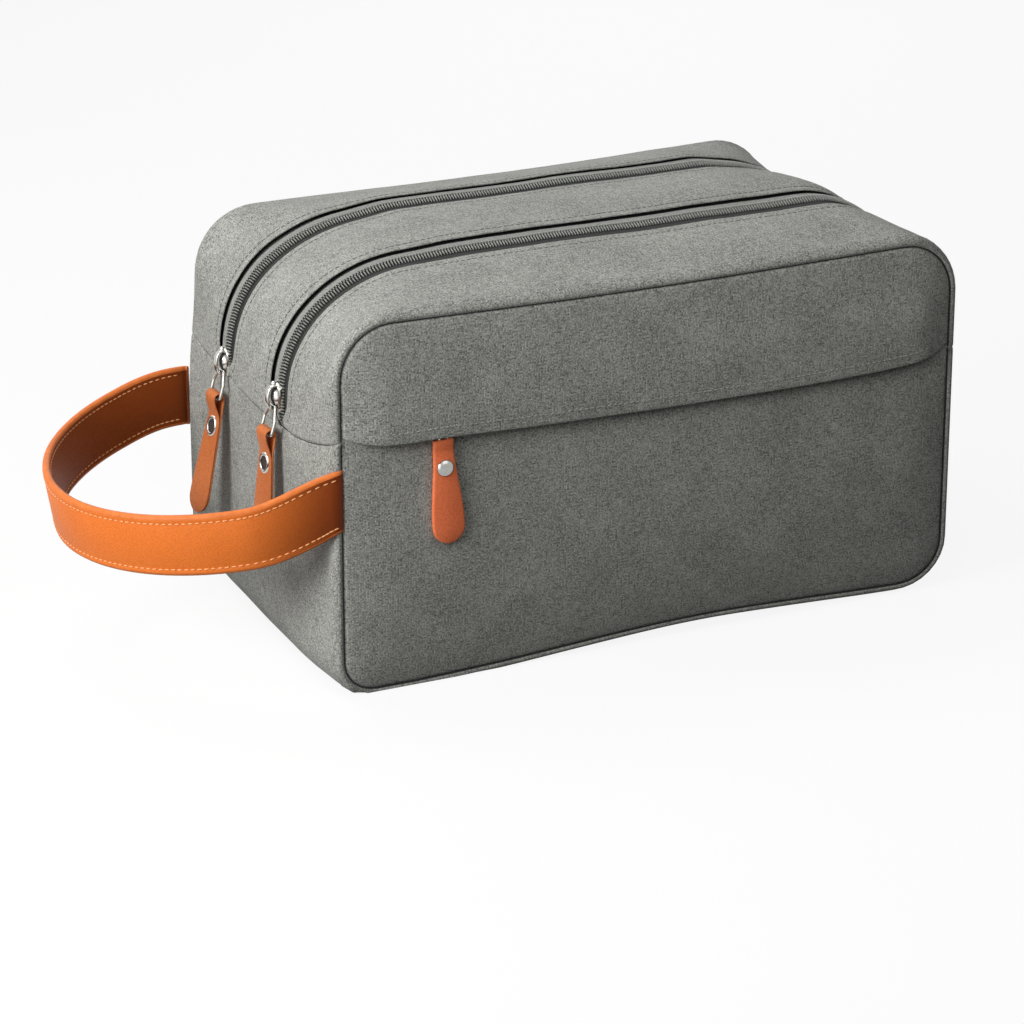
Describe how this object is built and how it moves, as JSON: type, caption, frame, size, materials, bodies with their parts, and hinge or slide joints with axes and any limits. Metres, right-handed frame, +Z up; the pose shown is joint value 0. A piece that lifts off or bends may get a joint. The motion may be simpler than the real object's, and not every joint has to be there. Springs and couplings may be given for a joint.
{
  "type": "shaving kit bag",
  "caption": "Padded fabric shaving kit bag with twin top zips, a zipped front pocket under a flap and a stitched leather side handle.",
  "frame": {"origin": "middle of the flat base", "axes": "+X along the bag away from the handle, +Z up, -Y out of the front pocket"},
  "size_m": [0.3475, 0.1689, 0.1551],
  "materials": {
    "outer_fabric": "heather grey linen-look canvas, laminated to thin padding",
    "lining_fabric": "smooth dark grey coated lining",
    "foam": "soft foam padding",
    "board": "stiffener board",
    "zip_tape": "woven zip tape",
    "zip_coil": "nylon coil",
    "nickel": "bright nickel plate",
    "pull_leather": "smooth tan-orange leather",
    "handle_leather": "pebbled tan-orange leather with light orange stitching"
  },
  "bodies": {
    "bag": {"back_foam_pad": "foam", "back_panel": "outer_fabric", "back_seam_tape": "lining_fabric", "band_foam_pad": "foam", "bottom_band": "outer_fabric", "divider_board": "board", "front_foam_pad": "foam", "front_lining_divider": "lining_fabric", "front_lining_gusset": "lining_fabric", "front_lining_wall": "lining_fabric", "front_pocket_panel": "outer_fabric", "front_seam_tape": "lining_fabric", "front_strip_lining": "lining_fabric", "front_upper_panel": "outer_fabric", "front_zip_coil_a": "zip_coil", "front_zip_coil_b": "zip_coil", "front_zip_tape_a": "zip_tape", "front_zip_tape_b": "zip_tape", "handle_end_front": "handle_leather", "handle_end_rear": "handle_leather", "middle_strip_lining": "lining_fabric", "pocket_back_wall": "lining_fabric", "pocket_zip_coil_lower": "zip_coil", "pocket_zip_coil_upper": "zip_coil", "pocket_zip_tape_lower": "zip_tape", "pocket_zip_tape_upper": "zip_tape", "rear_lining_divider": "lining_fabric", "rear_lining_gusset": "lining_fabric", "rear_lining_wall": "lining_fabric", "rear_strip_lining": "lining_fabric", "rear_zip_coil_a": "zip_coil", "rear_zip_coil_b": "zip_coil", "rear_zip_tape_a": "zip_tape", "rear_zip_tape_b": "zip_tape", "top_strip_front": "outer_fabric", "top_strip_middle": "outer_fabric", "top_strip_rear": "outer_fabric"},
    "front_pull": {"front_zip_pull": "pull_leather", "front_zip_pull_rivet": "nickel"},
    "front_ring": {"front_zip_ring": "nickel"},
    "front_slider": {"front_zip_slider": "nickel"},
    "handle": {"handle_lining": "handle_leather", "handle_outer": "handle_leather"},
    "pocket_pull": {"pocket_zip_pull": "pull_leather", "pocket_zip_pull_rivet": "nickel"},
    "pocket_slider": {"pocket_zip_slider": "nickel"},
    "rear_pull": {"rear_zip_pull": "pull_leather", "rear_zip_pull_rivet": "nickel"},
    "rear_ring": {"rear_zip_ring": "nickel"},
    "rear_slider": {"rear_zip_slider": "nickel"}
  },
  "joints": [
    {"name": "front_zip_run", "type": "hinge", "parent": "bag", "child": "front_slider", "pos_m": [-0.08, -0.0316, 0.103], "axis": [0, 1, 0], "range_deg": [0, 80]},
    {"name": "front_ring_swing", "type": "hinge", "parent": "front_slider", "child": "front_ring", "pos_m": [-0.1346, -0.0316, 0.1018], "axis": [0, 1, 0], "range_deg": [0, 75]},
    {"name": "front_pull_swing", "type": "hinge", "parent": "front_ring", "child": "front_pull", "pos_m": [-0.1376, -0.0316, 0.09143], "axis": [0, 1, 0], "range_deg": [0, 90]},
    {"name": "rear_zip_run", "type": "hinge", "parent": "bag", "child": "rear_slider", "pos_m": [-0.08, 0.0316, 0.103], "axis": [0, 1, 0], "range_deg": [0, 80]},
    {"name": "rear_ring_swing", "type": "hinge", "parent": "rear_slider", "child": "rear_ring", "pos_m": [-0.1346, 0.0316, 0.0974], "axis": [0, 1, 0], "range_deg": [0, 75]},
    {"name": "rear_pull_swing", "type": "hinge", "parent": "rear_ring", "child": "rear_pull", "pos_m": [-0.1376, 0.0316, 0.08703], "axis": [0, 1, 0], "range_deg": [0, 90]},
    {"name": "pocket_zip_run", "type": "slide", "parent": "bag", "child": "pocket_slider", "axis": [1, 0, 0], "range_m": [0, 0.19]},
    {"name": "pocket_pull_swing", "type": "hinge", "parent": "pocket_slider", "child": "pocket_pull", "pos_m": [-0.0895, -0.084, 0.0976], "axis": [-1, 0, 0], "range_deg": [0, 90]},
    {"name": "handle_swing", "type": "hinge", "parent": "bag", "child": "handle", "pos_m": [-0.1303, 0, 0.074], "axis": [0, 1, 0], "range_deg": [-15, 35]}
  ]
}
